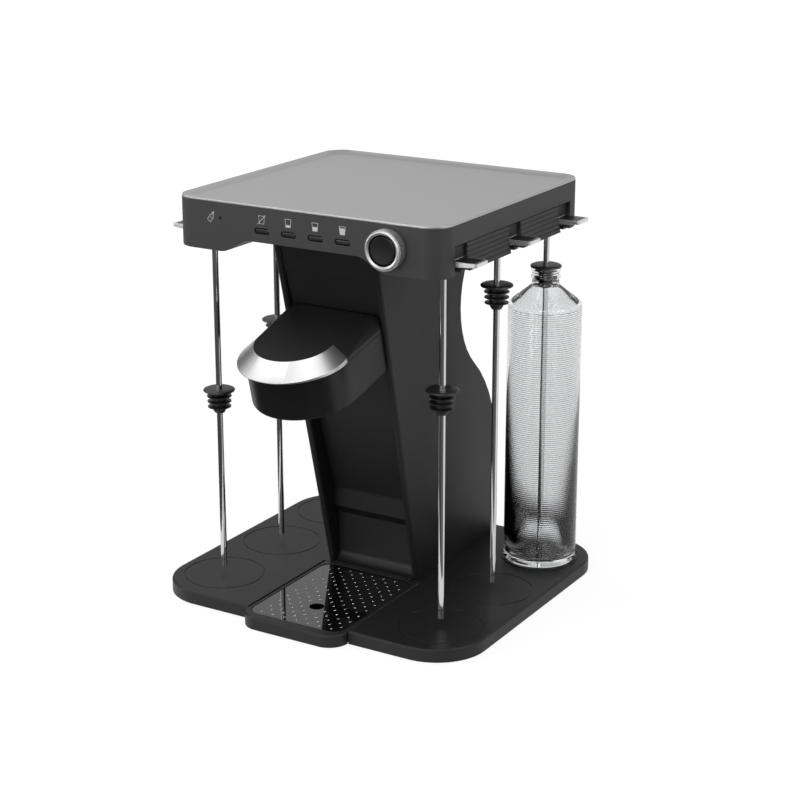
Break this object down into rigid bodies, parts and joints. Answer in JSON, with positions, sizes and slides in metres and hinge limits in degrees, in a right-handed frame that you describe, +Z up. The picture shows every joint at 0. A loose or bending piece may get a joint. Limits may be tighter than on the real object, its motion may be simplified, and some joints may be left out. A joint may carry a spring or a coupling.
{
  "type": "cocktail machine",
  "caption": "Countertop cocktail machine with side bottle places on hanging straws, a tilted capsule head with a chrome handle, a control fascia and a slide-out drip tray.",
  "frame": {"origin": "middle of the overall footprint, on the table", "axes": "+Z up, -Y towards the front with the drip tray and the controls, +X to the machine's right side seen from the front"},
  "size_m": [0.3534, 0.3675, 0.41],
  "materials": {
    "charcoal": "matt, faintly metallic charcoal",
    "dark_plastic": "matt black",
    "gloss_black": "high gloss black",
    "satin_black": "satin black",
    "satin_silver": "satin silver",
    "chrome": "polished",
    "steel": "drawn tube, bright",
    "rubber": "soft matt black",
    "clear_rubber": "milky clear",
    "clear_plastic": "clear",
    "light_plastic": "matt off-white",
    "board": "green circuit board",
    "motor_steel": "plated"
  },
  "bodies": {
    "machine": {"base_plate": "charcoal", "base_cover": "dark_plastic", "rubber_feet": "rubber", "base_screws": "steel", "tower_shell": "charcoal", "rear_cover": "charcoal", "front_panel": "charcoal", "backsplash": "charcoal", "head_housing": "charcoal", "head_floor": "charcoal", "top_plate": "satin_silver", "left_port_panel": "charcoal", "right_port_panel": "charcoal", "port_seals": "rubber", "lever_pins": "steel", "control_board": "board", "button_mat": "rubber", "indicator_lens": "clear_plastic", "knob_base": "dark_plastic", "capsule_housing": "satin_black", "capsule_basket": "dark_plastic", "lid_hinge_pin": "steel", "spout": "dark_plastic", "valve_block": "light_plastic", "suction_tubes": "clear_rubber", "pump": "dark_plastic", "pump_motor": "motor_steel", "power_supply": "board", "power_inlet": "dark_plastic"},
    "tray": {"drip_tray": "charcoal"},
    "plate": {"drip_plate": "gloss_black"},
    "lid": {"capsule_lid": "charcoal", "lid_handle": "chrome", "piercing_needle": "steel"},
    "knob": {"knob_ring": "satin_silver"},
    "mix": {"mix_button": "gloss_black"},
    "button_1": {"strength_button_1": "gloss_black"},
    "button_2": {"strength_button_2": "gloss_black"},
    "button_3": {"strength_button_3": "gloss_black"},
    "button_4": {"strength_button_4": "gloss_black"},
    "lever_left_front": {"lever_left_front": "chrome"},
    "lever_left_middle": {"lever_left_middle": "chrome"},
    "lever_left_rear": {"lever_left_rear": "chrome"},
    "lever_right_front": {"lever_right_front": "chrome"},
    "lever_right_middle": {"lever_right_middle": "chrome"},
    "lever_right_rear": {"lever_right_rear": "chrome"},
    "straw_left_front": {"straw_left_front": "steel"},
    "straw_left_middle": {"straw_left_middle": "steel"},
    "straw_left_rear": {"straw_left_rear": "steel"},
    "straw_right_front": {"straw_right_front": "steel"},
    "straw_right_middle": {"straw_right_middle": "steel"},
    "water": {"water_bottle": "clear_plastic", "straw_right_rear": "steel"},
    "stopper_left_front": {"stopper_left_front": "rubber"},
    "stopper_left_middle": {"stopper_left_middle": "rubber"},
    "stopper_left_rear": {"stopper_left_rear": "rubber"},
    "stopper_right_front": {"stopper_right_front": "rubber"},
    "stopper_right_middle": {"stopper_right_middle": "rubber"},
    "stopper_right_rear": {"stopper_right_rear": "rubber"}
  },
  "joints": [
    {"name": "tray_slide", "type": "slide", "parent": "machine", "child": "tray", "axis": [0, -1, 0], "range_m": [0, 0.13]},
    {"name": "plate_lift", "type": "slide", "parent": "tray", "child": "plate", "axis": [0, 0, 1], "range_m": [0, 0.012]},
    {"name": "lid_hinge", "type": "hinge", "parent": "machine", "child": "lid", "pos_m": [0, -0.06623, 0.30082], "axis": [-1, 0, 0], "range_deg": [0, 55]},
    {"name": "knob_turn", "type": "hinge", "parent": "machine", "child": "knob", "pos_m": [0.0922, -0.12, 0.3857], "axis": [0, -1, 0], "continuous": true},
    {"name": "mix_press", "type": "slide", "parent": "machine", "child": "mix", "axis": [0, 1, 0], "range_m": [0, 0.0015], "stiffness_N_per_m": 600},
    {"name": "button_1_press", "type": "slide", "parent": "machine", "child": "button_1", "axis": [0, 1, 0], "range_m": [0, 0.001], "stiffness_N_per_m": 500},
    {"name": "button_2_press", "type": "slide", "parent": "machine", "child": "button_2", "axis": [0, 1, 0], "range_m": [0, 0.001], "stiffness_N_per_m": 500},
    {"name": "button_3_press", "type": "slide", "parent": "machine", "child": "button_3", "axis": [0, 1, 0], "range_m": [0, 0.001], "stiffness_N_per_m": 500},
    {"name": "button_4_press", "type": "slide", "parent": "machine", "child": "button_4", "axis": [0, 1, 0], "range_m": [0, 0.001], "stiffness_N_per_m": 500},
    {"name": "lever_left_front_lift", "type": "hinge", "parent": "machine", "child": "lever_left_front", "pos_m": [-0.1375, -0.0791, 0.379], "axis": [0, 1, 0], "range_deg": [0, 18], "stiffness_Nm_per_rad": 0.08, "springref_deg": -6.88},
    {"name": "lever_left_middle_lift", "type": "hinge", "parent": "machine", "child": "lever_left_middle", "pos_m": [-0.1375, 0.0242, 0.379], "axis": [0, 1, 0], "range_deg": [0, 18], "stiffness_Nm_per_rad": 0.08, "springref_deg": -6.88},
    {"name": "lever_left_rear_lift", "type": "hinge", "parent": "machine", "child": "lever_left_rear", "pos_m": [-0.1375, 0.1275, 0.379], "axis": [0, 1, 0], "range_deg": [0, 18], "stiffness_Nm_per_rad": 0.08, "springref_deg": -6.88},
    {"name": "lever_right_front_lift", "type": "hinge", "parent": "machine", "child": "lever_right_front", "pos_m": [0.1375, -0.0791, 0.379], "axis": [0, -1, 0], "range_deg": [0, 18], "stiffness_Nm_per_rad": 0.08, "springref_deg": -6.88},
    {"name": "lever_right_middle_lift", "type": "hinge", "parent": "machine", "child": "lever_right_middle", "pos_m": [0.1375, 0.0242, 0.379], "axis": [0, -1, 0], "range_deg": [0, 18], "stiffness_Nm_per_rad": 0.08, "springref_deg": -6.88},
    {"name": "lever_right_rear_lift", "type": "hinge", "parent": "machine", "child": "lever_right_rear", "pos_m": [0.1375, 0.1275, 0.379], "axis": [0, -1, 0], "range_deg": [0, 18], "stiffness_Nm_per_rad": 0.08, "springref_deg": -6.88},
    {"name": "straw_left_front_slide", "type": "slide", "parent": "machine", "child": "straw_left_front", "axis": [-1, 0, 0], "range_m": [0, 0.055]},
    {"name": "straw_left_middle_slide", "type": "slide", "parent": "machine", "child": "straw_left_middle", "axis": [-1, 0, 0], "range_m": [0, 0.055]},
    {"name": "straw_left_rear_slide", "type": "slide", "parent": "machine", "child": "straw_left_rear", "axis": [-1, 0, 0], "range_m": [0, 0.055]},
    {"name": "straw_right_front_slide", "type": "slide", "parent": "machine", "child": "straw_right_front", "axis": [1, 0, 0], "range_m": [0, 0.055]},
    {"name": "straw_right_middle_slide", "type": "slide", "parent": "machine", "child": "straw_right_middle", "axis": [1, 0, 0], "range_m": [0, 0.055]},
    {"name": "water_bottle_slide", "type": "slide", "parent": "machine", "child": "water", "axis": [1, 0, 0], "range_m": [0, 0.055]},
    {"name": "stopper_left_front_slide", "type": "slide", "parent": "straw_left_front", "child": "stopper_left_front", "axis": [0, 0, 1], "range_m": [-0.058, 0.135]},
    {"name": "stopper_left_middle_slide", "type": "slide", "parent": "straw_left_middle", "child": "stopper_left_middle", "axis": [0, 0, 1], "range_m": [-0.106, 0.087]},
    {"name": "stopper_left_rear_slide", "type": "slide", "parent": "straw_left_rear", "child": "stopper_left_rear", "axis": [0, 0, 1], "range_m": [-0.112, 0.081]},
    {"name": "stopper_right_front_slide", "type": "slide", "parent": "straw_right_front", "child": "stopper_right_front", "axis": [0, 0, 1], "range_m": [-0.098, 0.095]},
    {"name": "stopper_right_middle_slide", "type": "slide", "parent": "straw_right_middle", "child": "stopper_right_middle", "axis": [0, 0, 1], "range_m": [-0.175, 0.018]},
    {"name": "stopper_right_rear_slide", "type": "slide", "parent": "water", "child": "stopper_right_rear", "axis": [0, 0, 1], "range_m": [0, 0.03]}
  ]
}
